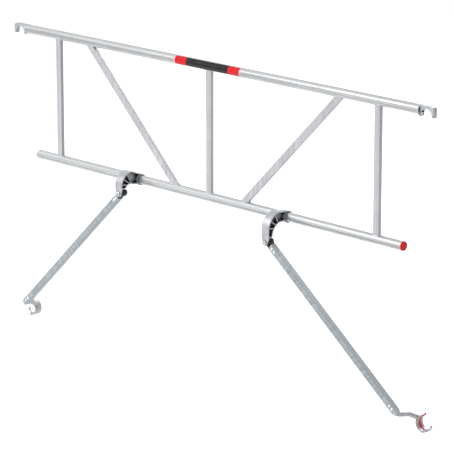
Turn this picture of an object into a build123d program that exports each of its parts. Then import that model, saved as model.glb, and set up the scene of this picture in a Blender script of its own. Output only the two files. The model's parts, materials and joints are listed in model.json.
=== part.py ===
from build123d import *
import os
from math import cos, radians, sin, sqrt

# Advance guard-rail frame for a mobile scaffold tower.
# Millimetres, X along the rails, +Z up, the legs stand out towards -Y.
# The origin is midway between the two rung hooks, on the axis of the rungs that they hang on.

# ---------------------------------------------------------------- driving dimensions
HOOK_SPAN = 2166.0          # hook bore to hook bore, which is the bay that the frame closes
RAIL_SPACING = 500.0        # axis of the top rail to axis of the bottom rail
RUNG_OD = 50.8              # tube of the tower that hooks and claws go round
RUNG_CLEARANCE = 0.4        # radial, bore of a hook or claw to the rung

RAIL_OD = 35.0
RAIL_WALL = 2.0
HOOK_ROOT = 12.2            # hook's bore to the end of the top rail
HOOK_RISE = 16.9            # top rail axis above the hook's bore axis
BOTTOM_SETBACK = 102.5      # hook's bore axis to the end of the bottom rail

BRACE_WIDTH = 28.0          # posts and diagonals, along the frame
BRACE_DEPTH = 15.0          # posts and diagonals, through the frame
BRACE_WALL = 1.8
POST_SETBACK = 229.0        # hook's bore axis to the outer post
DIAGONAL_INSET = 172.0      # a diagonal's foot from the middle, and its head from the outer post
WELD_GAP = 0.05             # coped end to the rail that it is welded to

CAP_FACE = 4.5
CAP_PLUG = 18.0
LABEL_LENGTH = 350.0
LABEL_ARC = 118.0           # degrees of the rail's girth that the label covers
LABEL_TILT = 12.0           # degrees that its middle is turned up from the front
LABEL_THICKNESS = 0.35

BRACKET_X = 398.0           # leg pivots from the middle
BRACKET_WIDTH = 36.0
BRACKET_RIM = 4.5           # wall left round the pockets
BRACKET_WEB = 10.0          # plate left between the two pockets
COLLAR_WALL = 5.0
COLLAR_GAP = 0.15           # radial, collar to rail
PIVOT_DROP = {"left": 41.0, "right": 81.0}  # leg pivot below the bottom rail's axis
ARM_RADIUS = {"left": 54.0, "right": 63.0}  # outer curve of the arm
ARM_CENTRE = {"left": -12.0, "right": -35.0}    # its centre, from the bottom rail's axis
TAB_THICKNESS = 6.5
TAB_RADIUS = 13.0
TAB_LENGTH = 24.0           # pivot up to where the tab has the arm's full width

LEG_SIZE = 25.0
LEG_WALL = 1.8
LEG_CORNER = 3.0
LEG_PLANE = 85.0            # middle of the legs in front of the rails
LEG_START = 22.0            # pivot to the near end of the leg tube
LEG_REACH = 808.0           # pivot to the far end of the leg tube
LEG_SPLAY = {"left": 46.5, "right": 52.1}   # degrees from straight down, as the frame stands

TAB_GAP = 0.5               # leg to the bracket's tab
EYE_RADIUS = 14.5
EYE_PLUG = 40.0
PLUG_GAP = 0.15             # round a plug inside its tube
PIVOT_RADIUS = 5.0
BUSH_WALL = 1.5
BUSH_GAP = 0.08             # eye on its bush
THREAD_GAP = 0.05           # bolt in its hole, rivet in its hole

CLAW_WALL = 6.5
CLAW_WIDTH = 33.0
CLAW_ALONG = 78.0           # end of the leg tube to the claw's axis, along the leg
CLAW_ASIDE = 2.5            # the claw's axis beside the leg's axis, on the outer side
CLAW_TIP = 66.0             # degrees, upper tip, from square to the leg on the outer side
CLAW_FOOT = 236.0           # degrees, lower end of the claw's two cheeks
JAW_TIP = 296.0             # degrees, tip of the jaw
JAW_HINGE = 218.0           # degrees, hinge of the jaw
JAW_HINGE_OUT = 4.7         # jaw pin outside the bore
NECK_RADIUS = 9.0
GROOVE_DEPTH = 3.6
GROOVE_WIDTH = 10.0
SLIDE_GAP = 0.5             # slide in its groove
SLIDE_HEEL = 14.0           # degrees, end of the slide before the jaw's hinge
THUMB_START = 12.0          # degrees, thumb tip's root beyond the claw's upper tip
THUMB_LENGTH = 12.0
THUMB_RADIUS = 2.0

HOOK_WALL = 7.5
HOOK_WIDTH = 20.0
HOOK_CORNER = 10.0
HOOK_FLANGE = 8.0           # round flange against the end of the rail
HOOK_LIP = 5.0              # lip's end below the bore's axis
HOOK_PLUG = 45.0
PAWL_WIDTH = 9.2
PIN_RADIUS = 2.0
PIN_GAP = 0.06              # pawl or jaw on its pin
SPRING_WIRE = 0.8
SPRING_SPACE = 2.6          # room for the coils on each side of a pawl or jaw
SIDE_GAP = 0.4              # flat sides that slide past each other
KNUCKLE_RADIUS = 3.4
KNUCKLE_GAP = 1.8
RIVET_RADIUS = 3.0
RIVET_HEAD = 5.0
RIVET_HEAD_RISE = 1.8

# ---------------------------------------------------------------- derived
HALF_SPAN = HOOK_SPAN / 2
BORE_RADIUS = RUNG_OD / 2 + RUNG_CLEARANCE
HOOK_REACH = BORE_RADIUS + HOOK_ROOT
TOP_RAIL_HALF = HALF_SPAN - HOOK_REACH
BOTTOM_RAIL_LENGTH = HOOK_SPAN - 2 * BOTTOM_SETBACK
POST_X = HALF_SPAN - POST_SETBACK
RAIL_RADIUS = RAIL_OD / 2
RAIL_BORE = RAIL_RADIUS - RAIL_WALL
TOP_Z = HOOK_RISE
BOTTOM_Z = TOP_Z - RAIL_SPACING
LEG_HALF = LEG_SIZE / 2
COLLAR_RADIUS = RAIL_RADIUS + COLLAR_GAP + COLLAR_WALL
HOOK_TOP = HOOK_RISE + RAIL_RADIUS - 1.0
TAB_BACK = LEG_PLANE + LEG_HALF + TAB_GAP
TAB_FRONT = TAB_BACK + TAB_THICKNESS
BUSH_RADIUS = PIVOT_RADIUS + BUSH_WALL
CLAW_OUTER = BORE_RADIUS + CLAW_WALL
CLAW_Z = -(LEG_REACH + CLAW_ALONG)
JAW_PIN_RADIUS = BORE_RADIUS + JAW_HINGE_OUT
HOOK_OUTER = BORE_RADIUS + HOOK_WALL
SLOT_HALF = PAWL_WIDTH / 2 + SPRING_SPACE

os.makedirs("parts", exist_ok=True)


def save(shape, name):
    """Write one node."""
    export_step(shape, f"parts/{name}.step")


def both_sides(shape, name):
    """Write a piece made for the right end, and its mirror image for the left end."""
    save(shape, f"right_{name}")
    save(mirror(shape, about=Plane.YZ), f"left_{name}")


def rod(radius, start, end):
    """A round bar between two points."""
    line = Vector(*end) - Vector(*start)
    return extrude(Plane(origin=start, z_dir=line) * Circle(radius), amount=line.length)


def block(x, y, z):
    """A box given by its three pairs of limits."""
    centre = Pos((x[0] + x[1]) / 2, (y[0] + y[1]) / 2, (z[0] + z[1]) / 2)
    return centre * Box(x[1] - x[0], y[1] - y[0], z[1] - z[0])


def polar(radius, angle):
    """A point in the XZ plane, by its distance and its angle from +X towards +Z."""
    return radius * cos(radians(angle)), radius * sin(radians(angle))


def slab(outline, y_from, y_to):
    """A flat outline in X and Z, made solid between two Y values."""
    plane = Plane(origin=(0, y_from, 0), x_dir=(1, 0, 0), z_dir=(0, 1, 0))
    return extrude(plane * mirror(outline, about=Plane.XZ), amount=y_to - y_from)


def arc_band(inner, outer, start, end, half_width):
    """A curved bar round the Y axis between two radii and two angles, start below end."""
    middle = (start + end) / 2
    edges = [
        ThreePointArc(polar(inner, start), polar(inner, middle), polar(inner, end)),
        Line(polar(inner, end), polar(outer, end)),
        ThreePointArc(polar(outer, end), polar(outer, middle), polar(outer, start)),
        Line(polar(outer, start), polar(inner, start)),
    ]
    return slab(make_face(edges), -half_width, half_width)


def square_tube(width, depth, length, corner):
    """A rounded rectangle carried up Z from 0."""
    return extrude(RectangleRounded(width, depth, corner), amount=length)


def rivet(start, end, radius=RIVET_RADIUS, head=RIVET_HEAD, rise=RIVET_HEAD_RISE):
    """A round rivet with a low dome at both ends; start and end lie under the domes."""
    line = (Vector(*end) - Vector(*start)).normalized()
    body = rod(radius, start, end)
    ball = (head ** 2 + rise ** 2) / (2 * rise)
    for seat, way in ((Vector(*start), line * -1), (Vector(*end), line)):
        dome = Pos(*(seat + way * (rise - ball))) * Sphere(ball)
        body += dome & rod(head, seat, seat + way * (rise + 1))
    return body


# ---------------------------------------------------------------- rails, posts and diagonals
HOOK_RIVET_X = [TOP_RAIL_HALF - 14, TOP_RAIL_HALF - 33]
COLLAR_RIVET_X = [BRACKET_X - BRACKET_WIDTH / 4, BRACKET_X + BRACKET_WIDTH / 4]


def rail(length, z):
    """A round tube along X."""
    return rod(RAIL_RADIUS, (-length / 2, 0, z), (length / 2, 0, z)) - rod(
        RAIL_BORE, (-length / 2, 0, z), (length / 2, 0, z)
    )


def brace(bottom_x, top_x):
    """A rectangular tube from rail to rail, with both ends coped round the rails."""
    foot = Vector(bottom_x, 0, BOTTOM_Z)
    line = Vector(top_x, 0, TOP_Z) - foot
    plane = Plane(origin=foot, x_dir=(line.Z, 0, -line.X), z_dir=line)
    outside = extrude(plane * RectangleRounded(BRACE_WIDTH, BRACE_DEPTH, 2), amount=line.length)
    inside = extrude(
        plane * Rectangle(BRACE_WIDTH - 2 * BRACE_WALL, BRACE_DEPTH - 2 * BRACE_WALL),
        amount=line.length,
    )
    tube = outside - inside
    for z in (BOTTOM_Z, TOP_Z):
        tube -= rod(RAIL_RADIUS + WELD_GAP, (-HALF_SPAN, 0, z), (HALF_SPAN, 0, z))
    return tube


def end_cap():
    """The plug that closes an end of the bottom rail, with a low domed face."""
    end = BOTTOM_RAIL_LENGTH / 2
    face = rod(RAIL_RADIUS, (end, 0, BOTTOM_Z), (end + CAP_FACE, 0, BOTTOM_Z))
    rim = face.edges().filter_by(GeomType.CIRCLE).sort_by(Axis.X)[-1]
    face = fillet(rim, CAP_FACE * 0.6)
    plug = rod(RAIL_BORE - PLUG_GAP, (end - CAP_PLUG, 0, BOTTOM_Z), (end, 0, BOTTOM_Z))
    hollow = rod(RAIL_BORE - 3, (end - CAP_PLUG, 0, BOTTOM_Z), (end - 2, 0, BOTTOM_Z))
    return face + plug - hollow


def label():
    """A thin curved sheet on the front of the top rail."""
    inner = RAIL_RADIUS + 0.02
    outer = inner + LABEL_THICKNESS
    half = LABEL_ARC / 2
    sheet = Circle(outer) - Circle(inner)
    wedge = make_face(Polyline(
        (0, 0), polar(2 * outer, -half), (3 * outer, 0), polar(2 * outer, half), close=True
    ))
    plane = Plane(origin=(-LABEL_LENGTH / 2, 0, TOP_Z), x_dir=(0, -1, 0), z_dir=(1, 0, 0))
    return extrude(plane * Rot(0, 0, -LABEL_TILT) * (sheet & wedge), amount=LABEL_LENGTH)


def make_frame():
    """The welded frame, its caps and its label."""
    top = rail(2 * TOP_RAIL_HALF, TOP_Z)
    for x in HOOK_RIVET_X:
        for side in (-1, 1):
            top -= rod(
                RIVET_RADIUS + THREAD_GAP,
                (side * x, 0, TOP_Z - RAIL_OD),
                (side * x, 0, TOP_Z + RAIL_OD),
            )
    save(top, "top_rail")
    bottom = rail(BOTTOM_RAIL_LENGTH, BOTTOM_Z)
    for x in COLLAR_RIVET_X:
        for side in (-1, 1):
            bottom -= rod(
                RIVET_RADIUS + THREAD_GAP, (side * x, 0, BOTTOM_Z), (side * x, RAIL_OD, BOTTOM_Z)
            )
    save(bottom, "bottom_rail")
    save(brace(0, 0), "centre_post")
    both_sides(brace(POST_X, POST_X), "post")
    both_sides(brace(DIAGONAL_INSET, POST_X - DIAGONAL_INSET), "diagonal")
    both_sides(end_cap(), "end_cap")
    save(label(), "rail_label")


# ---------------------------------------------------------------- hooks on the top rail
PAWL_PIN = (-(BORE_RADIUS + 6.5), 6.0)      # X and Z from the hook's bore axis
PAWL_EYE = 4.0
PAWL_RIM = BORE_RADIUS + 0.5                # the pawl's face follows the rung
PAWL_TOP = 163.0                            # degrees round the bore
PAWL_NOSE = 192.0


def hook_casting():
    """Hook over a rung: a squared arch, a flange on the rail's end, and a plug in the rail."""
    edge = BORE_RADIUS + HOOK_WALL
    outline = make_face([
        Line((-HOOK_REACH, HOOK_TOP), (edge - HOOK_CORNER, HOOK_TOP)),
        JernArc((edge - HOOK_CORNER, HOOK_TOP), (1, 0), HOOK_CORNER, -90),
        Line((edge, HOOK_TOP - HOOK_CORNER), (edge, 3 - HOOK_LIP)),
        JernArc((edge, 3 - HOOK_LIP), (0, -1), 3, -90),
        Line((edge - 3, -HOOK_LIP), (-HOOK_REACH + 8, -HOOK_LIP)),
        Line((-HOOK_REACH + 8, -HOOK_LIP), (-HOOK_REACH, HOOK_RISE - RAIL_RADIUS)),
        Line((-HOOK_REACH, HOOK_RISE - RAIL_RADIUS), (-HOOK_REACH, HOOK_TOP)),
    ])
    body = slab(outline, -HOOK_WIDTH / 2, HOOK_WIDTH / 2)
    flange_end = (-HOOK_REACH + HOOK_FLANGE, 0, HOOK_RISE)
    body += rod(RAIL_RADIUS, (-HOOK_REACH, 0, HOOK_RISE), flange_end)
    body -= rod(BORE_RADIUS, (0, -RAIL_OD, 0), (0, RAIL_OD, 0))
    body += rod(
        RAIL_BORE - PLUG_GAP,
        (-HOOK_REACH - HOOK_PLUG, 0, HOOK_RISE),
        (-HOOK_REACH, 0, HOOK_RISE),
    )
    body -= block((-HOOK_REACH, 0), (-SLOT_HALF, SLOT_HALF), (-HOOK_OUTER, PAWL_PIN[1] + 9))
    body -= rod(
        PIN_RADIUS + THREAD_GAP,
        (PAWL_PIN[0], -RAIL_OD, PAWL_PIN[1]),
        (PAWL_PIN[0], RAIL_OD, PAWL_PIN[1]),
    )
    for x in HOOK_RIVET_X:
        spot = x - HALF_SPAN
        body -= rod(RIVET_RADIUS + THREAD_GAP, (spot, 0, -60), (spot, 0, 60))
    return body


def pawl():
    """Sprung latch beside the bore, whose nose grips a rung just under its widest line."""
    x, z = PAWL_PIN
    top = polar(PAWL_RIM, PAWL_TOP)
    middle = polar(PAWL_RIM, (PAWL_TOP + PAWL_NOSE) / 2)
    nose = polar(PAWL_RIM, PAWL_NOSE)
    chin = (nose[0] - 2.8, nose[1] - 1.6)
    left = x - PAWL_EYE + 0.6
    outline = make_face([
        ThreePointArc(top, middle, nose),
        Line(nose, chin),
        Line(chin, (left + 0.4, z - 8)),
        Line((left + 0.4, z - 8), (left, z)),
        Line((left, z), (x, z + 2)),
        Line((x, z + 2), top),
    ])
    body = slab(outline, -PAWL_WIDTH / 2, PAWL_WIDTH / 2)
    body += Pos(x, 0, z) * Rot(90, 0, 0) * Cylinder(PAWL_EYE, PAWL_WIDTH)
    return body - rod(PIN_RADIUS + PIN_GAP, (x, -PAWL_WIDTH, z), (x, PAWL_WIDTH, z))


def coils(x, z, inner_half):
    """Coils of the two springs on a pin, one each side of the piece that they push."""
    group = []
    step = 2 * SPRING_WIRE * 0.55
    for side in (-1, 1):
        for turn in range(2):
            y = side * (inner_half + 0.3 + SPRING_WIRE / 2 + turn * (SPRING_WIRE + 0.1 * step))
            ring = Torus(PIN_RADIUS + 0.35 + SPRING_WIRE / 2, SPRING_WIRE / 2)
            group.append(Pos(x, y, z) * Rot(90, 0, 0) * ring)
    return Compound(children=group)


def make_hooks():
    """Both hooks with their rivets, pawls, pins and springs."""
    place = Pos(HALF_SPAN, 0, 0)
    both_sides(place * hook_casting(), "top_hook")
    both_sides(place * pawl(), "hook_pawl")
    x, z = PAWL_PIN
    reach = RAIL_RADIUS - 3.0
    pin = rod(PIN_RADIUS, (x, -reach, z), (x, reach, z))
    both_sides(place * pin, "pawl_pin")
    both_sides(place * coils(x, z, PAWL_WIDTH / 2), "pawl_spring")
    rivets = []
    for side in (-1, 1):
        for spot in HOOK_RIVET_X:
            low = (side * spot, 0, TOP_Z - RAIL_RADIUS)
            high = (side * spot, 0, TOP_Z + RAIL_RADIUS)
            rivets.append(rivet(low, high))
    save(Compound(children=rivets), "hook_rivets")


# ---------------------------------------------------------------- brackets on the bottom rail
RIB_ANGLES = (62.0, 34.0, 8.0)      # cross ribs of the arm, degrees above straight ahead
RIB_THICKNESS = 3.2


def bracket_outline(side):
    """Side view of the arm, as Y and Z from the rail's axis."""
    radius = ARM_RADIUS[side]
    centre_y = -TAB_FRONT + radius
    centre_z = ARM_CENTRE[side]
    crown = (centre_y, centre_z + radius)
    shoulder = (centre_y - radius * sin(radians(45)), centre_z + radius * cos(radians(45)))
    front = (-TAB_FRONT, centre_z)
    shelf = -PIVOT_DROP[side] + EYE_RADIUS + 3.5
    tab_end = -PIVOT_DROP[side] - TAB_RADIUS
    inner_front = (-TAB_BACK + 16, shelf)
    inner_bulge = (-TAB_BACK + 26, shelf / 2)
    inner_back = (-TAB_BACK + 56, -12)
    collar_top = (0, COLLAR_RADIUS)
    return make_face([
        Line(collar_top, crown),
        ThreePointArc(crown, shoulder, front),
        Line(front, (-TAB_FRONT, tab_end)),
        Line((-TAB_FRONT, tab_end), (-TAB_BACK, tab_end)),
        Line((-TAB_BACK, tab_end), (-TAB_BACK, shelf)),
        Line((-TAB_BACK, shelf), inner_front),
        ThreePointArc(inner_front, inner_bulge, inner_back),
        Line(inner_back, (0, -12)),
        Line((0, -12), collar_top),
    ])


def side_slab(outline, x_from, x_to):
    """An outline in Y and Z, made solid between two X values."""
    plane = Plane(origin=(x_from, 0, 0), x_dir=(0, 1, 0), z_dir=(1, 0, 0))
    return extrude(plane * outline, amount=x_to - x_from)


def tab_shape(drop):
    """Front view of the tab, tapered from the arm's width to the round end at the pivot."""
    half = BRACKET_WIDTH / 2
    taper = make_face(Polyline(
        (-half, TAB_LENGTH - drop), (half, TAB_LENGTH - drop),
        (TAB_RADIUS, -drop), (-TAB_RADIUS, -drop), close=True,
    ))
    return slab(taper + Pos(0, -drop) * Circle(TAB_RADIUS), -2 * TAB_FRONT, 0)


def bracket_casting(side):
    """Arm that carries a leg in front of the frame, with pockets and ribs on both sides."""
    half = BRACKET_WIDTH / 2
    drop = PIVOT_DROP[side]
    outline = bracket_outline(side)
    arm = side_slab(outline, -half, half)
    below = block((-half, half), (-2 * TAB_FRONT, -TAB_BACK + 20), (-2 * TAB_FRONT, TAB_LENGTH - drop))
    arm -= below - tab_shape(drop)
    pocket = offset(outline, amount=-BRACKET_RIM)
    pocket -= Circle(COLLAR_RADIUS + BRACKET_RIM / 2)
    pocket -= Pos(-TAB_FRONT, -drop) * Rectangle(90, 2 * (EYE_RADIUS + 3.5 + BRACKET_RIM))
    centre = (-TAB_FRONT + ARM_RADIUS[side], ARM_CENTRE[side])
    for angle in RIB_ANGLES:
        rib = Pos(*centre) * Rot(0, 0, 180 - angle) * Pos(ARM_RADIUS[side] / 2, 0)
        pocket -= rib * Rectangle(ARM_RADIUS[side] * 1.2, RIB_THICKNESS)
    arm -= side_slab(pocket, BRACKET_WEB / 2, half)
    arm -= side_slab(pocket, -half, -BRACKET_WEB / 2)
    body = arm + rod(COLLAR_RADIUS, (-half, 0, 0), (half, 0, 0))
    body -= rod(RAIL_RADIUS + COLLAR_GAP, (-half, 0, 0), (half, 0, 0))
    body -= rod(PIVOT_RADIUS + THREAD_GAP, (0, -TAB_FRONT, -drop), (0, -TAB_BACK, -drop))
    for x in COLLAR_RIVET_X:
        spot = x - BRACKET_X
        body -= rod(RIVET_RADIUS + THREAD_GAP, (spot, 0, 0), (spot, 2 * COLLAR_RADIUS, 0))
    return body


def pivot_set(drop):
    """Bolt, bush, washer and nut of one leg pivot, from the rail's axis."""
    z = -drop
    leg_back = -LEG_PLANE + LEG_HALF
    washer = 1.6
    rear = leg_back + TAB_GAP
    front = -TAB_FRONT
    bolt = rod(PIVOT_RADIUS, (0, front, z), (0, rear + washer + 9, z))
    bolt += rod(8.0, (0, front - 4.5, z), (0, front, z))
    rim = bolt.edges().filter_by(GeomType.CIRCLE).sort_by(Axis.Y)[0]
    bolt = fillet(rim, 2.2)
    socket = Plane(origin=(0, front - 4.5, z), z_dir=(0, 1, 0))
    bolt -= extrude(socket * RegularPolygon(3.6, 6), amount=2.8)
    bush = rod(BUSH_RADIUS, (0, -TAB_BACK, z), (0, rear, z))
    bush -= rod(PIVOT_RADIUS + THREAD_GAP, (0, -TAB_BACK, z), (0, rear, z))
    disc = rod(11.0, (0, rear, z), (0, rear + washer, z))
    disc -= rod(PIVOT_RADIUS + THREAD_GAP, (0, rear, z), (0, rear + washer, z))
    seat = Plane(origin=(0, rear + washer, z), z_dir=(0, 1, 0))
    nut = extrude(seat * RegularPolygon(9.6, 6), amount=8)
    nut -= rod(PIVOT_RADIUS + THREAD_GAP, (0, rear, z), (0, rear + washer + 9, z))
    return bolt, bush, disc, nut


def make_brackets():
    """Both brackets, the rivets that hold their collars, and the pivots of the legs."""
    names = ("pivot_bolt", "pivot_bush", "pivot_washer", "pivot_nut")
    for side, drop in PIVOT_DROP.items():
        place = Pos(BRACKET_X, 0, BOTTOM_Z)
        pieces = {"bracket": bracket_casting(side)}
        pieces.update(zip(names, pivot_set(drop)))
        for name, shape in pieces.items():
            placed = place * shape
            if side == "left":
                placed = mirror(placed, about=Plane.YZ)
            save(placed, f"{side}_{name}")
    rivets = []
    for x in COLLAR_RIVET_X:
        for side in (-1, 1):
            inner = (side * x, RAIL_BORE - 1, BOTTOM_Z)
            outer = (side * x, COLLAR_RADIUS, BOTTOM_Z)
            rivets.append(rivet(inner, outer))
    save(Compound(children=rivets), "collar_rivets")


# ---------------------------------------------------------------- legs
# A leg is drawn pointing straight down from its pivot, at the origin, with its outer side at +X.
EYE_RIVET_Z = [-LEG_START - 13, -LEG_START - 28]
CLAW_RIVET_Z = [-LEG_REACH + 13, -LEG_REACH + 28]


def leg_rivet_cuts(spots):
    """Holes through the leg for its rivets."""
    holes = [
        rod(RIVET_RADIUS + THREAD_GAP, (0, -LEG_SIZE, z), (0, LEG_SIZE, z)) for z in spots
    ]
    return holes[0] + holes[1:]


def leg_rivets(spots):
    """Rivets through the leg."""
    return Compound(children=[rivet((0, -LEG_HALF, z), (0, LEG_HALF, z)) for z in spots])


def leg_tube():
    """Square tube of a leg."""
    length = LEG_REACH - LEG_START
    outside = square_tube(LEG_SIZE, LEG_SIZE, length, LEG_CORNER)
    bore = LEG_SIZE - 2 * LEG_WALL
    tube = Pos(0, 0, -LEG_REACH) * (outside - square_tube(bore, bore, length, 1.2))
    return tube - leg_rivet_cuts(EYE_RIVET_Z + CLAW_RIVET_Z)


def leg_plug(z_low, z_high):
    """Square plug that fills the leg's bore between two heights."""
    size = LEG_SIZE - 2 * (LEG_WALL + PLUG_GAP)
    return Pos(0, 0, z_low) * square_tube(size, size, z_high - z_low, 1.2)


def leg_eye():
    """Moulded eye that turns on the pivot bush, with its plug in the leg."""
    size = LEG_SIZE - 2 * (LEG_WALL + PLUG_GAP)
    eye = Rot(90, 0, 0) * Cylinder(EYE_RADIUS, LEG_SIZE)
    neck = block((-size / 2, size / 2), (-size / 2, size / 2), (-LEG_START, 0))
    body = eye + neck + leg_plug(-LEG_START - EYE_PLUG, -LEG_START)
    body -= Rot(90, 0, 0) * Cylinder(BUSH_RADIUS + BUSH_GAP, 2 * LEG_SIZE)
    return body - leg_rivet_cuts(EYE_RIVET_Z)


def jaw_pin_spot():
    """X and Z of the jaw's pin from the claw's axis."""
    return polar(JAW_PIN_RADIUS, JAW_HINGE)


def claw_casting():
    """Claw round a rung, with the swan neck that brings it back under the rails."""
    half = CLAW_WIDTH / 2
    pin_x, pin_z = jaw_pin_spot()
    middle = (BORE_RADIUS + CLAW_OUTER) / 2
    ring = arc_band(BORE_RADIUS, CLAW_OUTER, CLAW_TIP, CLAW_FOOT, half)
    for angle in (CLAW_TIP, CLAW_FOOT):
        end_x, end_z = polar(middle, angle)
        ring += Pos(end_x, 0, end_z) * Rot(90, 0, 0) * Cylinder(CLAW_WALL / 2, CLAW_WIDTH)
    ring += Pos(pin_x, 0, pin_z) * Rot(90, 0, 0) * Cylinder(KNUCKLE_RADIUS + 1, CLAW_WIDTH)
    start = (-CLAW_ASIDE, -LEG_PLANE, CLAW_ALONG)
    shoulder = (-CLAW_ASIDE, -LEG_PLANE, CLAW_ALONG - 12)
    knee = (3.5, -LEG_PLANE / 2, CLAW_OUTER + 18.7)
    root = (-3.3, -half / 2, CLAW_OUTER - 2)
    path = FilletPolyline(start, shoulder, knee, root, radius=(11, 15))
    neck = sweep(Plane(origin=start, z_dir=(0, 0, -1)) * Circle(NECK_RADIUS), path=path)
    wide = Plane(origin=start, z_dir=(0, 0, -1))
    narrow = Plane(origin=(start[0], start[1], start[2] - 13), z_dir=(0, 0, -1))
    socket = loft([
        wide * RectangleRounded(LEG_SIZE, LEG_SIZE, LEG_CORNER + 1.5),
        narrow * RectangleRounded(2 * NECK_RADIUS + 0.6, 2 * NECK_RADIUS + 0.6, NECK_RADIUS - 0.5),
    ])
    body = ring + neck + socket
    body -= rod(BORE_RADIUS, (0, -CLAW_WIDTH, 0), (0, CLAW_WIDTH, 0))
    side = GROOVE_WIDTH / 2 + SIDE_GAP + SPRING_SPACE
    relief = Cylinder(KNUCKLE_RADIUS + KNUCKLE_GAP, 2 * side)
    body -= Pos(pin_x, 0, pin_z) * Rot(90, 0, 0) * relief
    body -= arc_band(
        BORE_RADIUS - 2, BORE_RADIUS + GROOVE_DEPTH, CLAW_TIP - 30, JAW_HINGE, GROOVE_WIDTH / 2
    )
    body -= arc_band(
        BORE_RADIUS - 2, CLAW_OUTER + 8, JAW_HINGE - 2, CLAW_FOOT + 12, GROOVE_WIDTH / 2
    )
    body -= rod(PIN_RADIUS + THREAD_GAP, (pin_x, -CLAW_WIDTH, pin_z), (pin_x, CLAW_WIDTH, pin_z))
    plug = Pos(start[0], start[1], start[2] + LEG_REACH) * leg_plug(-LEG_REACH, -LEG_REACH + 40)
    plug -= Pos(start[0], start[1], start[2] + LEG_REACH) * leg_rivet_cuts(CLAW_RIVET_Z)
    return body + plug


def claw_jaw():
    """Narrow jaw that closes the mouth, hinged between the two cheeks of the claw."""
    half = GROOVE_WIDTH / 2 - SIDE_GAP
    pin_x, pin_z = jaw_pin_spot()
    inner = BORE_RADIUS + 0.5
    outer = CLAW_OUTER - 0.6
    body = arc_band(inner, outer, JAW_HINGE + 4, JAW_TIP, half)
    tip_x, tip_z = polar((inner + outer) / 2, JAW_TIP)
    body += Pos(tip_x, 0, tip_z) * Rot(90, 0, 0) * Cylinder((outer - inner) / 2, 2 * half)
    body += Pos(pin_x, 0, pin_z) * Rot(90, 0, 0) * Cylinder(KNUCKLE_RADIUS, 2 * half)
    return body - rod(PIN_RADIUS + PIN_GAP, (pin_x, -50, pin_z), (pin_x, 50, pin_z))


def claw_slide():
    """Release slide in the claw's groove, with its thumb tip beyond the claw's upper tip."""
    inner = BORE_RADIUS + 0.6
    outer = BORE_RADIUS + GROOVE_DEPTH - SLIDE_GAP
    half = GROOVE_WIDTH / 2 - SIDE_GAP
    root_angle = CLAW_TIP - THUMB_START
    body = arc_band(inner, outer, root_angle - 1, JAW_HINGE - SLIDE_HEEL, half)
    root_x, root_z = polar(inner + THUMB_RADIUS, root_angle)
    way_x, way_z = polar(THUMB_LENGTH, root_angle - 59)
    thumb = (root_x + way_x, 0, root_z + way_z)
    body += rod(THUMB_RADIUS, (root_x, 0, root_z), thumb)
    return body + Pos(*thumb) * Sphere(THUMB_RADIUS + 1.2)


def make_legs():
    """Both legs with their eyes, claws, jaws and slides."""
    claw_place = Pos(CLAW_ASIDE, LEG_PLANE, CLAW_Z)
    pin_x, pin_z = jaw_pin_spot()
    half = CLAW_WIDTH / 2
    pieces = {
        "leg_tube": leg_tube(),
        "leg_eye": leg_eye(),
        "eye_rivets": leg_rivets(EYE_RIVET_Z),
        "claw": claw_place * claw_casting(),
        "claw_rivets": leg_rivets(CLAW_RIVET_Z),
        "jaw_pin": claw_place * rod(PIN_RADIUS, (pin_x, -half, pin_z), (pin_x, half, pin_z)),
        "jaw_spring": claw_place * coils(pin_x, pin_z, GROOVE_WIDTH / 2 - SIDE_GAP),
        "claw_jaw": claw_place * claw_jaw(),
        "claw_slide": claw_place * claw_slide(),
    }
    for side, angle in LEG_SPLAY.items():
        pivot_z = BOTTOM_Z - PIVOT_DROP[side]
        place = Pos(BRACKET_X, -LEG_PLANE, pivot_z) * Rot(0, -angle, 0)
        for name, shape in pieces.items():
            placed = place * shape
            if side == "left":
                placed = mirror(placed, about=Plane.YZ)
            save(placed, f"{side}_{name}")


make_frame()
make_hooks()
make_brackets()
make_legs()
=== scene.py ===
import bpy
import json
import numpy as np
from math import cos, pi, radians, sin
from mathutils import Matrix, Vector


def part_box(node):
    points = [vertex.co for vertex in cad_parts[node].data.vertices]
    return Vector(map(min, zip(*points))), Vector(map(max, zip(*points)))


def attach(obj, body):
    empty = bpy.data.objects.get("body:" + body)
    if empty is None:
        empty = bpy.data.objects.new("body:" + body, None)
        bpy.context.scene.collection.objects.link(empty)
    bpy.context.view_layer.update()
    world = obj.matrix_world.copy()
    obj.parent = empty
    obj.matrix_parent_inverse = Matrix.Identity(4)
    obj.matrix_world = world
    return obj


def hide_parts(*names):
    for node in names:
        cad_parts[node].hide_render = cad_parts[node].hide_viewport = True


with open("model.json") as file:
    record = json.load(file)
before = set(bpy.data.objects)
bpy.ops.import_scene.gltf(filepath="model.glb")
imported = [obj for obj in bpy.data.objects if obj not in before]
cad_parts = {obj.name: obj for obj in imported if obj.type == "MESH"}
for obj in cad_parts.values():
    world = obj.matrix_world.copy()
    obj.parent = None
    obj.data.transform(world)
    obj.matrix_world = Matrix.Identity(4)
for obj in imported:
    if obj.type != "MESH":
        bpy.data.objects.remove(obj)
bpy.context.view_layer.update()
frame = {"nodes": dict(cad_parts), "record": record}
nodes = frame["nodes"]
SIDES = ("left", "right")

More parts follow.
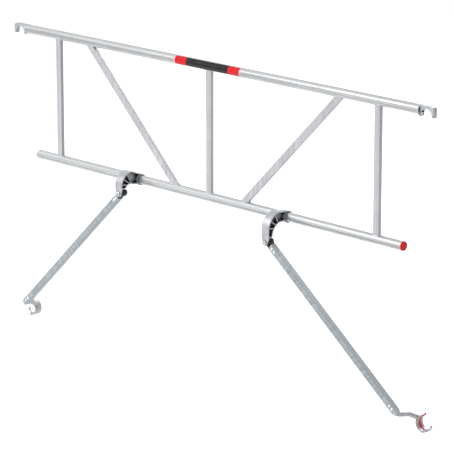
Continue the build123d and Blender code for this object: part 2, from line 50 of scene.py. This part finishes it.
# ---------------------------------------------------------------- sizes, in metres
RAIL_RADIUS = 0.0175
TOP_Z = 0.0169
BOTTOM_Z = TOP_Z - 0.500
POST_X = 0.854
BRACE_HALF = 0.014          # half a post's width along the frame
BRACE_THICK = 0.0075        # half its depth through the frame
LEG_TURN = {"left": radians(46.5), "right": radians(-52.1)}
LABEL_RED_FROM = 0.112      # the label's red ends begin this far from its middle
LABEL_EDGE = 0.172
WELD_SIZE = 0.0021
WELD_STAND = 0.0006         # the bead's middle stands this far off the brace
WELD_CORNER = 0.30          # power that squares a circle to the brace's rounded outline
WELD_RIPPLES = ((34, 0.16, 0.0), (11, 0.07, 1.3))   # count round the brace, height, start
WELD_STEPS, WELD_SIDES = 220, 12
SPRING_TURNS = 2.75
SPRING_STEPS, SPRING_SIDES = 110, 8
DIAGONAL_FOOT = 0.172       # a diagonal's foot from the middle, and its head from the outer post
BRACES = {                  # a brace's place along the frame at the bottom rail and the top rail
    "centre_post": (0.0, 0.0),
    "left_post": (-POST_X, -POST_X),
    "right_post": (POST_X, POST_X),
    "left_diagonal": (-DIAGONAL_FOOT, DIAGONAL_FOOT - POST_X),
    "right_diagonal": (DIAGONAL_FOOT, POST_X - DIAGONAL_FOOT),
}
FLOOR_LEVEL = -1.50         # the frame hangs, and its legs swing clear above the floor
PAWL_HALF = 0.0046          # half the width of a pawl
JAW_HALF = 0.0046           # and of a jaw
SPRING_WIRE = 0.0004        # half the wire
RED_BLUR = 0.0004           # half the width over which the label's black turns red
EDGE_BLUR = 0.0003          # half the width over which its red ends
EDGE_TURN = (0.78, 0.99)    # cosine of rounded to true normal: on an edge, on a flat


# ---------------------------------------------------------------- helpers for node materials
class Finish:
    """A material's node tree, with one short call for each kind of node."""

    def __init__(self, name):
        self.material = bpy.data.materials.new(name)
        self.material.use_nodes = True
        self.tree = self.material.node_tree
        self.shader = self.tree.nodes["Principled BSDF"]
        self.place = self.tree.nodes.new("ShaderNodeTexCoord").outputs["Object"]

    def add(self, kind, **settings):
        node = self.tree.nodes.new(kind)
        for key, value in settings.items():
            setattr(node, key, value)
        return node

    def join(self, source, target):
        self.tree.links.new(source, target)

    def grain(self, scale, turn=0.0, detail=4.0, roughness=0.55):
        """Noise stretched by a scale per axis, after a turn about Y."""
        lay = self.add("ShaderNodeMapping")
        lay.inputs["Rotation"].default_value = (0, turn, 0)
        stretch = self.add("ShaderNodeMapping")
        stretch.inputs["Scale"].default_value = scale
        noise = self.add("ShaderNodeTexNoise")
        noise.inputs["Scale"].default_value = 1.0
        noise.inputs["Detail"].default_value = detail
        noise.inputs["Roughness"].default_value = roughness
        self.join(self.place, lay.inputs["Vector"])
        self.join(lay.outputs["Vector"], stretch.inputs["Vector"])
        self.join(stretch.outputs["Vector"], noise.inputs["Vector"])
        return noise.outputs["Fac"]

    def span(self, value, low_in, high_in, low, high):
        """A value carried from one range to another, and held inside it."""
        node = self.add("ShaderNodeMapRange", clamp=True)
        names = ("From Min", "From Max", "To Min", "To Max")
        for key, number in zip(names, (low_in, high_in, low, high)):
            node.inputs[key].default_value = number
        self.join(value, node.inputs["Value"])
        return node.outputs["Result"]

    def mottle(self, noise, low=0.0, high=1.0):
        """The useful middle of a noise, opened out to a range."""
        return self.span(noise, 0.3, 0.7, low, high)

    def even(self, density, detail=3.0, roughness=0.55):
        """Fine noise that is the same in all directions."""
        return self.grain((density, density, density), detail=detail, roughness=roughness)

    def blend(self, factor, first, second, way="MIX"):
        """Two colours, each a socket or a plain colour, mixed by a factor."""
        node = self.add("ShaderNodeMix", data_type="RGBA", blend_type=way)
        factor_socket, first_socket, second_socket = (node.inputs[place] for place in (0, 6, 7))
        pairs = ((factor_socket, factor), (first_socket, first), (second_socket, second))
        for socket, value in pairs:
            if isinstance(value, (tuple, float)):
                socket.default_value = (*value, 1.0) if isinstance(value, tuple) else value
            else:
                self.join(value, socket)
        return node.outputs[2]

    def math(self, way, first, second):
        node = self.add("ShaderNodeMath", operation=way)
        for socket, value in zip(node.inputs, (first, second)):
            if isinstance(value, float):
                socket.default_value = value
            else:
                self.join(value, socket)
        return node.outputs[0]

    def edges(self, radius):
        """1 on an outside or inside edge, 0 on a flat face: rounded against true normal."""
        bevel = self.add("ShaderNodeBevel", samples=4)
        bevel.inputs["Radius"].default_value = radius
        truth = self.add("ShaderNodeNewGeometry")
        dot = self.add("ShaderNodeVectorMath", operation="DOT_PRODUCT")
        self.join(bevel.outputs["Normal"], dot.inputs[0])
        self.join(truth.outputs["Normal"], dot.inputs[1])
        return self.span(dot.outputs["Value"], *EDGE_TURN, 1.0, 0.0)

    def occlusion_for_painted_shade(self, distance):
        """0 deep in a pocket, 1 out in the open: ambient occlusion, used to paint shade into pockets.
        """
        shade = self.add("ShaderNodeAmbientOcclusion", samples=6)
        shade.inputs["Distance"].default_value = distance
        return shade.outputs["AO"]

    def painted_bands_round_rail(self, height, profile):
        """Painted reflection bands: a tone read from a profile by the angle round a rail's axis, which
        lies at a height.

        The angle is the arc tangent of (height above the axis) over (depth in front of it)."""
        split = self.add("ShaderNodeSeparateXYZ")
        self.join(self.place, split.inputs[0])
        up = self.math("SUBTRACT", split.outputs["Z"], height)
        forward = self.math("MULTIPLY", split.outputs["Y"], -1.0)
        angle = self.span(self.math("ARCTAN2", up, forward), -pi, pi, 0.0, 1.0)
        ramp = self.add("ShaderNodeValToRGB")
        stops = ramp.color_ramp.elements
        made = [stops[0], *(stops.new(degrees / 360 + 0.5) for degrees, _ in profile[1:-1]), stops[-1]]
        for stop, (degrees, tone) in zip(made, profile):
            stop.position = degrees / 360 + 0.5
            stop.color = (tone, tone, tone, 1)
        self.join(angle, ramp.inputs["Fac"])
        return ramp.outputs["Color"]

    def relief(self, height, strength, depth):
        bump = self.add("ShaderNodeBump")
        bump.inputs["Strength"].default_value = strength
        bump.inputs["Distance"].default_value = depth
        self.join(height, bump.inputs["Height"])
        self.join(bump.outputs["Normal"], self.shader.inputs["Normal"])

    def colour(self, socket):
        self.join(socket, self.shader.inputs["Base Color"])

    def rough(self, socket):
        self.join(socket, self.shader.inputs["Roughness"])

    def set(self, **values):
        for key, value in values.items():
            self.shader.inputs[key.replace("_", " ")].default_value = value
        return self


def drawn_aluminium(
    name, dark, light, run, metallic, turn=0.0, edge_highlight_tone=None, rough=(0.26, 0.44), axis_height=None
):
    """Drawn tube: fine die lines along its run, soft cloudy oxide, faint rubs, painted shade in its
    hollows, and, when asked for, a painted highlight on its edges and painted reflection bands round a
    rail.
    """
    f = Finish(name).set(Metallic=metallic)
    lines = f.grain(run, turn, detail=5.0, roughness=0.7)
    bands = f.grain(tuple(0.3 * step for step in run), turn, detail=1.0)
    cloud = f.grain((9.0, 11.0, 10.0), detail=3.0)
    scuff = f.grain((60.0, 75.0, 65.0), detail=6.0, roughness=0.75)
    drawn = f.math("ADD", f.math("MULTIPLY", lines, 0.5), f.math("MULTIPLY", bands, 0.5))
    tone = f.blend(f.span(drawn, 0.36, 0.62, 0.0, 1.0), dark, light)
    dull = tuple(0.86 * c for c in dark)
    rubbed = tuple(min(1.0, 1.15 * c) for c in light)
    tone = f.blend(f.mottle(cloud, 0.0, 0.30), tone, dull)
    tone = f.blend(f.span(scuff, 0.64, 0.80, 0.0, 0.35), tone, rubbed)
    # painted reflection: light and dark bands round a rail, read by the angle round its axis
    if axis_height is not None:
        tone = f.blend(1.0, tone, f.painted_bands_round_rail(axis_height, PAINTED_REFLECTION_BANDS), way="MULTIPLY")
    # painted shade: the tube darkens towards near black where ambient occlusion finds a hollow
    tone = f.blend(f.span(f.occlusion_for_painted_shade(0.03), 0.2, 0.8, 0.55, 0.0), tone, (0.05, 0.052, 0.055))
    # painted highlight: a paler tone along the tube's rounded edges
    if edge_highlight_tone:
        tone = f.blend(f.math("MULTIPLY", f.edges(0.0022), 0.75), tone, edge_highlight_tone)
    f.colour(tone)
    f.rough(f.span(f.math("ADD", cloud, f.math("MULTIPLY", lines, 0.5)), 0.5, 1.0, *rough))
    f.relief(lines, 0.20, 0.0002)
    return f.material


def cast_aluminium(name):
    """Cast alloy: sand-cast tooth, painted shade darkening its pockets, and edges rubbed bright,
    partly wear and partly a painted highlight.
    """
    f = Finish(name).set(Metallic=0.35)
    tooth = f.even(420.0, detail=5.0, roughness=0.6)
    cloud = f.grain((35.0, 30.0, 40.0), detail=4.0)
    tone = f.blend(f.mottle(cloud), (0.32, 0.33, 0.35), (0.48, 0.49, 0.51))
    # painted shade: pockets darken to near black by ambient occlusion
    tone = f.blend(f.span(f.occlusion_for_painted_shade(0.018), 0.35, 0.95, 1.0, 0.0), tone, (0.012, 0.013, 0.015))
    # edges made pale, patchy by noise: partly wear, partly a painted highlight
    wear_and_highlight = f.math("MULTIPLY", f.edges(0.0011), f.span(cloud, 0.35, 0.6, 0.3, 0.8))
    f.colour(f.blend(wear_and_highlight, tone, (0.82, 0.83, 0.84)))
    f.rough(f.mottle(tooth, 0.34, 0.54))
    f.relief(tooth, 0.35, 0.0004)
    return f.material


def plated_steel(name, dark, light, metallic=0.9, rough=(0.22, 0.40)):
    """Zinc or plain spring steel: spangled tone, painted shade near its seats, and paler edges, partly
    wear and partly a painted highlight.
    """
    f = Finish(name).set(Metallic=metallic)
    spangle = f.grain((260.0, 300.0, 280.0), detail=2.0)
    fine = f.even(900.0)
    tone = f.blend(f.span(spangle, 0.35, 0.65, 0.0, 1.0), dark, light)
    # painted shade: darker where ambient occlusion finds a close seat
    tone = f.blend(f.span(f.occlusion_for_painted_shade(0.005), 0.2, 0.8, 0.7, 0.0), tone, (0.05, 0.05, 0.05))
    # paler edges: partly wear, partly a painted highlight
    f.colour(f.blend(f.math("MULTIPLY", f.edges(0.0006), 0.5), tone, (0.86, 0.86, 0.86)))
    f.rough(f.mottle(spangle, *rough))
    f.relief(fine, 0.15, 0.0001)
    return f.material


def moulded_plastic(name, dark, light, rough, worn):
    """Injection-moulded plastic: a fine spark-eroded grain and paler rubbed edges."""
    f = Finish(name).set(Metallic=0.0, IOR=1.49, Specular_IOR_Level=0.3)
    pores = f.even(800.0)
    cloud = f.grain((70.0, 60.0, 65.0), detail=4.0)
    tone = f.blend(f.mottle(cloud), dark, light)
    scratch = f.grain((300.0, 40.0, 260.0), detail=6.0, roughness=0.8)
    tone = f.blend(f.span(scratch, 0.62, 0.78, 0.0, 0.4), tone, worn)
    f.colour(f.blend(f.math("MULTIPLY", f.edges(0.0008), 0.55), tone, worn))
    f.rough(f.mottle(cloud, rough, rough + 0.14))
    f.relief(pores, 0.22, 0.00015)
    return f.material


def printed_film(name):
    """The label's film: a black middle, red ends and a thin pale edge, with no lettering."""
    f = Finish(name).set(Metallic=0.0, Roughness=0.32, Specular_IOR_Level=0.2)
    split = f.add("ShaderNodeSeparateXYZ")
    f.join(f.place, split.inputs[0])
    away = f.math("ABSOLUTE", split.outputs["X"], 0.0)
    cloud = f.grain((55.0, 40.0, 45.0), detail=5.0)
    specks = f.grain((500.0, 600.0, 600.0), detail=4.0, roughness=0.7)
    red = f.blend(f.mottle(cloud), (0.56, 0.003, 0.006), (0.72, 0.008, 0.010))
    black = f.blend(f.mottle(cloud), (0.006, 0.006, 0.007), (0.014, 0.014, 0.016))
    tone = black
    for start, blur, next_tone in ((LABEL_RED_FROM, RED_BLUR, red),
                                   (LABEL_EDGE, EDGE_BLUR, (0.66, 0.66, 0.66))):
        tone = f.blend(f.span(away, start - blur, start + blur, 0.0, 1.0), tone, next_tone)
    tone = f.blend(f.span(specks, 0.68, 0.78, 0.0, 0.45), tone, (0.55, 0.55, 0.56))
    f.colour(tone)
    f.rough(f.mottle(cloud, 0.26, 0.42))
    f.relief(specks, 0.08, 0.0001)
    return f.material


# ---------------------------------------------------------------- finishes of the object
RAIL_RUN = (1.6, 420.0, 420.0)      # die lines run along X
POST_RUN = (380.0, 420.0, 2.0)      # and up a post
PAINTED_REFLECTION_BANDS = (                     # degrees up from straight ahead, and the tone of the painted reflection band at that angle
    (-180, 0.80), (-150, 0.95), (-120, 0.70), (-85, 0.62), (-58, 0.78), (-42, 1.0), (-28, 0.95),
    (-17, 0.55), (-9, 0.55), (0, 0.86), (24, 0.82), (38, 1.0), (66, 1.0), (80, 0.74), (92, 0.50),
    (108, 0.50), (122, 0.80), (165, 0.80),
)
finishes = {
    "brace_tube": drawn_aluminium(
        "drawn_brace", (0.34, 0.35, 0.37), (0.52, 0.53, 0.55), POST_RUN, 0.30,
        edge_highlight_tone=(0.84, 0.85, 0.86),
    ),
    "cast_alloy": cast_aluminium("sand_cast_alloy"),
    "zinc_steel": plated_steel("zinc_plate", (0.40, 0.41, 0.42), (0.62, 0.63, 0.62)),
    "spring_steel": plated_steel("spring_wire", (0.16, 0.16, 0.17), (0.34, 0.34, 0.35)),
    "rivets": plated_steel("rivet_alloy", (0.50, 0.51, 0.52), (0.68, 0.69, 0.70), 0.7),
    "red_plastic": moulded_plastic(
        "red_moulding", (0.66, 0.003, 0.004), (0.86, 0.008, 0.010), 0.40, (0.86, 0.06, 0.06)
    ),
    "black_plastic": moulded_plastic(
        "black_moulding", (0.006, 0.006, 0.007), (0.014, 0.014, 0.016), 0.38, (0.045, 0.045, 0.048)
    ),
    "label": printed_film("label_film"),
}
leg_finish = {
    side: drawn_aluminium(
        f"anodised_leg_{side}", (0.24, 0.265, 0.28), (0.38, 0.41, 0.43), POST_RUN, 0.22,
        turn=LEG_TURN[side], edge_highlight_tone=(0.60, 0.63, 0.65), rough=(0.36, 0.52),
    )
    for side in SIDES
}
# each rail carries painted reflection bands about its own axis
rail_finish = {
    node: drawn_aluminium(
        f"drawn_{node}", (0.38, 0.39, 0.40), (0.66, 0.67, 0.68), RAIL_RUN, 0.42, axis_height=height
    )
    for node, height in (("top_rail", TOP_Z), ("bottom_rail", BOTTOM_Z))
}
slot_of = {entry["node"]: entry["material_slot"] for entry in frame["record"]["subparts"]}


def dress(piece, finish):
    """Gives a piece its one finish."""
    piece.data.materials.clear()
    piece.data.materials.append(finish)


for node, piece in nodes.items():
    side = node.split("_")[0]
    if slot_of[node] == "leg_tube":
        dress(piece, leg_finish[side])
    else:
        dress(piece, rail_finish[node] if node in rail_finish else finishes[slot_of[node]])


# ---------------------------------------------------------------- computed surfaces
def skin(name, grids, finish, body):
    """One mesh from grids of points, rows along a path and columns round it, each column closed.

    A row's last point joins its first. A path that doesn't meet itself gets a fan on each end.
    Each closed surface is turned to face outwards by the sign of the volume that it holds."""
    points, faces, start = [], [], 0
    for grid, loop in grids:
        rows, columns = grid.shape[:2]
        index = np.arange(rows * columns).reshape(rows, columns)
        here = index if loop else index[:-1]
        there = np.roll(index, -1, axis=0) if loop else index[1:]
        next_here, next_there = np.roll(here, -1, axis=1), np.roll(there, -1, axis=1)
        quads = np.stack([here, next_here, next_there, there], axis=-1).reshape(-1, 4)
        blocks = [quads]
        cloud = grid.reshape(-1, 3)
        if not loop:
            first, last = index[0], index[-1]
            middle = np.full(columns, rows * columns)
            blocks.append(np.stack([np.roll(first, -1), first, middle], axis=-1))
            blocks.append(np.stack([last, np.roll(last, -1), middle + 1], axis=-1))
            ends = np.stack([grid[0].mean(axis=0), grid[-1].mean(axis=0)])
            cloud = np.concatenate([cloud, ends])
        a, b, c = (cloud[quads[:, corner]] - cloud.mean(axis=0) for corner in range(3))
        if np.einsum("ij,ij->i", a, np.cross(b, c)).sum() < 0:
            blocks = [block[:, ::-1] for block in blocks]
        points.append(cloud)
        for block in blocks:
            faces.extend((block + start).tolist())
        start += len(cloud)
    cloud = np.concatenate(points)
    mesh = bpy.data.meshes.new(name)
    mesh.from_pydata(cloud.tolist(), [], faces)
    mesh.polygons.foreach_set("use_smooth", np.ones(len(faces), dtype=bool))
    mesh.update()
    piece = bpy.data.objects.new(name, mesh)
    bpy.context.scene.collection.objects.link(piece)
    dress(piece, finish)
    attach(piece, body)
    return piece


def tube_round(path, size, side_way, up_way, sides):
    """A ring of points round each point of a path: size times (cosine of the ring's angle times
    one direction, plus sine times the other)."""
    ring = np.linspace(0, 2 * pi, sides, endpoint=False)[None, :, None]
    return path[:, None, :] + size * (
        np.cos(ring) * side_way[:, None, :] + np.sin(ring) * up_way[:, None, :]
    )


def bead_grid(x, rail_z, lean, above):
    """Weld bead round a post's end.

    The path is the post's rounded rectangle carried along the post until it meets the rail's
    cylinder: height = rail height plus or minus the root of (rail radius squared less depth
    squared). A ring of radius WELD_SIZE is carried round it, swelled in small ripples."""
    turn = np.linspace(0, 2 * pi, WELD_STEPS, endpoint=False)
    wide, deep = (
        (half + WELD_STAND) * np.sign(wave) * np.abs(wave) ** WELD_CORNER
        for half, wave in ((BRACE_HALF, np.cos(turn)), (BRACE_THICK, np.sin(turn)))
    )
    rise = np.sqrt(RAIL_RADIUS ** 2 - deep ** 2) * (1 if above else -1)
    across = np.array([cos(lean), 0, -sin(lean)])
    along = np.array([sin(lean), 0, cos(lean)])
    reach = (rise - wide * across[2]) / along[2]
    path = np.stack([
        x + wide * across[0] + reach * along[0],
        deep,
        rail_z + wide * across[2] + reach * along[2],
    ], axis=-1)
    middle = path.mean(axis=0)
    tangent = np.roll(path, -1, axis=0) - np.roll(path, 1, axis=0)
    tangent /= np.linalg.norm(tangent, axis=1, keepdims=True)
    outward = path - middle
    outward -= tangent * np.einsum("ij,ij->i", outward, tangent)[:, None]
    outward /= np.linalg.norm(outward, axis=1, keepdims=True)
    upward = np.cross(tangent, outward)
    ripple = 1 + sum(height * np.sin(count * turn + start) for count, height, start in WELD_RIPPLES)
    return tube_round(path, (WELD_SIZE * ripple)[:, None, None], outward, upward, WELD_SIDES)


def spring_grids(node, wire, inner_half):
    """Two helices round a pin, one on each side of the part that they press.

    A point of a helix goes round Y at the rings' mean radius while Y grows evenly, and a small
    circle is carried along it."""
    low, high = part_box(node)
    middle = (low + high) / 2
    mean = (high.x - low.x) / 2 - wire
    outer_half = (high.y - low.y) / 2 - wire
    way = np.linspace(0, 2 * pi * SPRING_TURNS, SPRING_STEPS)
    outward = np.stack([np.cos(way), np.zeros_like(way), np.sin(way)], axis=-1)
    sideways = np.broadcast_to(np.array([0.0, 1.0, 0.0]), outward.shape)
    grids = []
    for side in (-1, 1):
        y = side * (inner_half + wire + (outer_half - inner_half - wire) * way / way[-1])
        path = np.array(middle) + mean * outward + y[:, None] * sideways
        grids.append((tube_round(path, wire, outward, sideways, SPRING_SIDES), False))
    return grids


def bead_finish():
    """Weld metal: a tone clouded from dull to bright, with fine bumps."""
    f = Finish("weld_bead").set(Metallic=0.6)
    cloud = f.grain((120.0, 140.0, 130.0), detail=4.0)
    fine = f.even(900.0)
    tone = f.blend(f.mottle(cloud), (0.36, 0.37, 0.38), (0.62, 0.63, 0.64))
    f.colour(tone)
    f.rough(f.mottle(cloud, 0.30, 0.50))
    f.relief(fine, 0.2, 0.0002)
    return f.material


weld_metal = bead_finish()

# ---------------------------------------------------------------- welds and springs
for brace, (foot, head) in BRACES.items():
    lean = np.arctan2(head - foot, TOP_Z - BOTTOM_Z)
    grids = [
        (bead_grid(foot, BOTTOM_Z, lean, above=True), True),
        (bead_grid(head, TOP_Z, lean, above=False), True),
    ]
    skin(f"{brace}_welds", grids, weld_metal, "frame")

for side in SIDES:
    for node, body, half in (
        (f"{side}_pawl_spring", "frame", PAWL_HALF),
        (f"{side}_jaw_spring", f"{side}_leg", JAW_HALF),
    ):
        grids = spring_grids(node, SPRING_WIRE, half)
        coil = skin(f"{node}_coil", grids, finishes["spring_steel"], body)
        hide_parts(node)


# ---------------------------------------------------------------- floor, lamps and camera
FLOOR_HALF = 40.0
FLOOR_TONE = 0.86
FLOOR_GLOW = 0.62           # only for rays from the camera and from metal
WORLD_FILL = 0.30           # what the surroundings light the object with
AIM = (0, 0, -0.5)
LAMPS = (                   # name, place, width and height, power
    ("key_lamp", (-3.0, -6.0, 4.5), (3.0, 2.2), 620),
    ("fill_lamp", (6.0, -2.0, 3.0), (3.0, 3.0), 45),
    ("rear_lamp", (-1.5, 6.0, 4.0), (3.5, 2.5), 320),
)
AZIMUTH, ELEVATION, DISTANCE = radians(46.0), radians(14.72), 10.146
LOOK_AT = Vector((0.09256, 0, -0.5820))
LENS, SENSOR = 215.44, 36
CLIP_END = 100


def seen_directly(tree, otherwise, seen):
    """One number for rays from the camera and mirror-like ones, another for all others."""
    path = tree.nodes.new("ShaderNodeLightPath")
    both = tree.nodes.new("ShaderNodeMath")
    both.operation = "MAXIMUM"
    tree.links.new(path.outputs["Is Camera Ray"], both.inputs[0])
    tree.links.new(path.outputs["Is Glossy Ray"], both.inputs[1])
    span = tree.nodes.new("ShaderNodeMapRange")
    span.inputs["To Min"].default_value = otherwise
    span.inputs["To Max"].default_value = seen
    tree.links.new(both.outputs[0], span.inputs["Value"])
    return span.outputs["Result"]


def pale_floor():
    """A broad pale sheet that keeps the shadow and shows white, in metal too."""
    mesh = bpy.data.meshes.new("floor")
    signs = ((-1, -1), (1, -1), (1, 1), (-1, 1))
    corners = [(x * FLOOR_HALF, y * FLOOR_HALF, FLOOR_LEVEL) for x, y in signs]
    mesh.from_pydata(corners, [], [(0, 1, 2, 3)])
    floor = bpy.data.objects.new("floor", mesh)
    bpy.context.scene.collection.objects.link(floor)
    sheet = bpy.data.materials.new("pale_floor")
    sheet.use_nodes = True
    tree = sheet.node_tree
    shader = tree.nodes["Principled BSDF"]
    shader.inputs["Base Color"].default_value = (FLOOR_TONE, FLOOR_TONE, FLOOR_TONE, 1)
    shader.inputs["Roughness"].default_value = 0.9
    shader.inputs["Specular IOR Level"].default_value = 0.1
    shader.inputs["Emission Color"].default_value = (1, 1, 1, 1)
    tree.links.new(seen_directly(tree, 0.0, FLOOR_GLOW), shader.inputs["Emission Strength"])
    mesh.materials.append(sheet)


def face(thing, place, target):
    """Puts a lamp or the camera at a place, turned to look at a target."""
    thing.location = place
    thing.rotation_euler = (Vector(target) - Vector(place)).to_track_quat("-Z", "Y").to_euler()
    bpy.context.scene.collection.objects.link(thing)


pale_floor()
for name, place, size, power in LAMPS:
    light = bpy.data.lights.new(name, "AREA")
    light.shape = "RECTANGLE"
    light.size, light.size_y = size
    light.energy = power
    face(bpy.data.objects.new(name, light), place, AIM)

scene = bpy.context.scene
scene.world = bpy.data.worlds.new("studio")
scene.world.use_nodes = True
studio = scene.world.node_tree
background = studio.nodes["Background"]
background.inputs["Color"].default_value = (1, 1, 1, 1)
studio.links.new(seen_directly(studio, WORLD_FILL, 1.0), background.inputs["Strength"])

camera = bpy.data.objects.new("camera", bpy.data.cameras.new("camera"))
toward_camera = Vector((
    sin(AZIMUTH) * cos(ELEVATION), -cos(AZIMUTH) * cos(ELEVATION), sin(ELEVATION)
))
face(camera, LOOK_AT + DISTANCE * toward_camera, LOOK_AT)
camera.data.lens = LENS
camera.data.sensor_width = SENSOR
camera.data.clip_end = CLIP_END
scene.camera = camera
scene.view_settings.view_transform = "Standard"
